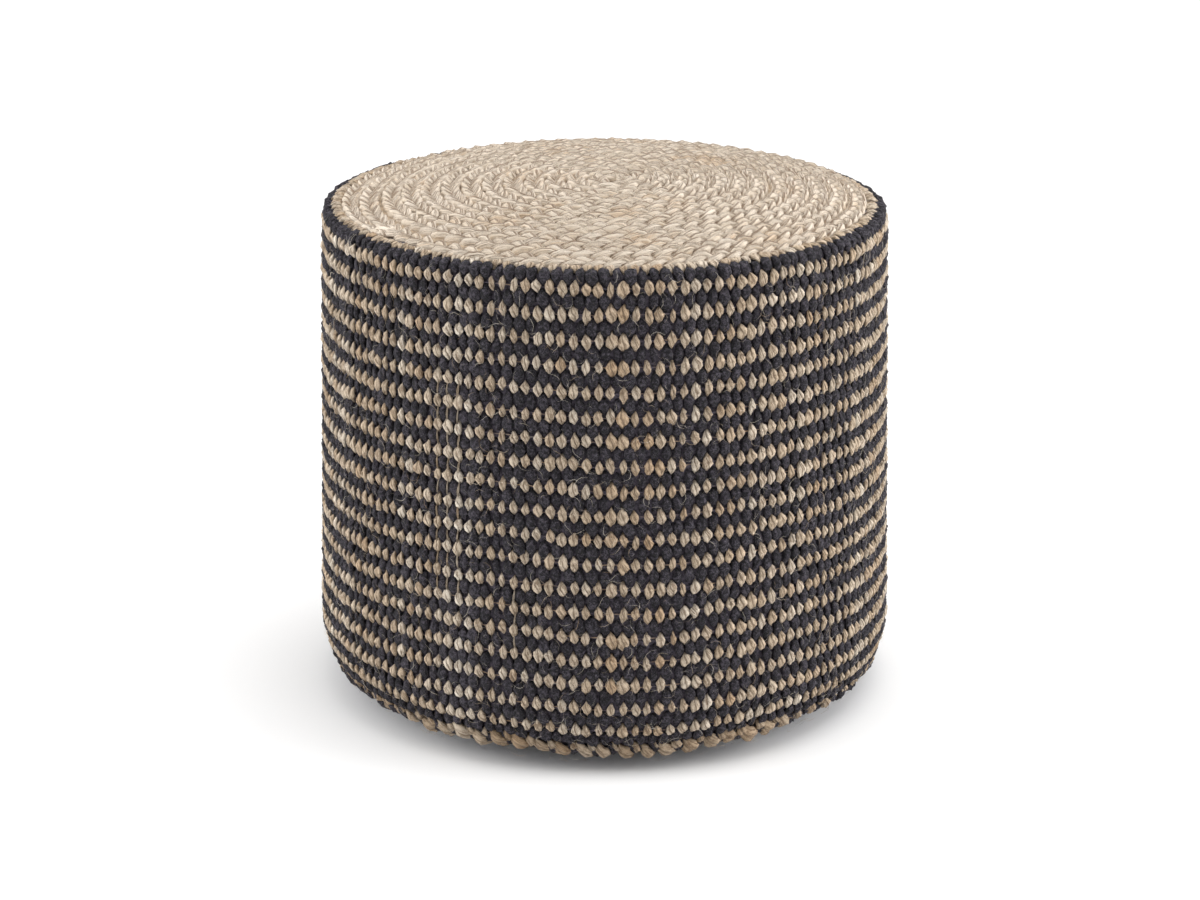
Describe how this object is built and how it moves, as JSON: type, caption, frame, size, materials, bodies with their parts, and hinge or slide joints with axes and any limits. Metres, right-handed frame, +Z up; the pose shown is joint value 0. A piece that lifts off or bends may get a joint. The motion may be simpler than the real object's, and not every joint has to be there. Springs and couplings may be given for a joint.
{
  "type": "round floor pouf",
  "caption": "Stuffed round drum pouf with a row-woven two-tone side band, a coiled braid top and a flat base to rest on.",
  "frame": {"origin": "middle of the flat base, on the surface the pouf stands on", "axes": "+Z up along the drum's axis; -Y is the side that faces the viewer in the picture"},
  "size_m": [0.4802, 0.4776, 0.4238],
  "materials": {
    "woven_band": "coarse woven rows of tan jute and charcoal wool-like yarn, matt and hairy",
    "jute_braid": "natural pale jute, loosely twisted three-strand braid, slight fibre sheen",
    "base_cloth": "plain close-woven natural cloth, matt"
  },
  "bodies": {
    "root": {"side_band": "woven_band", "top_coil": "jute_braid", "base_panel": "base_cloth"}
  },
  "joints": []
}
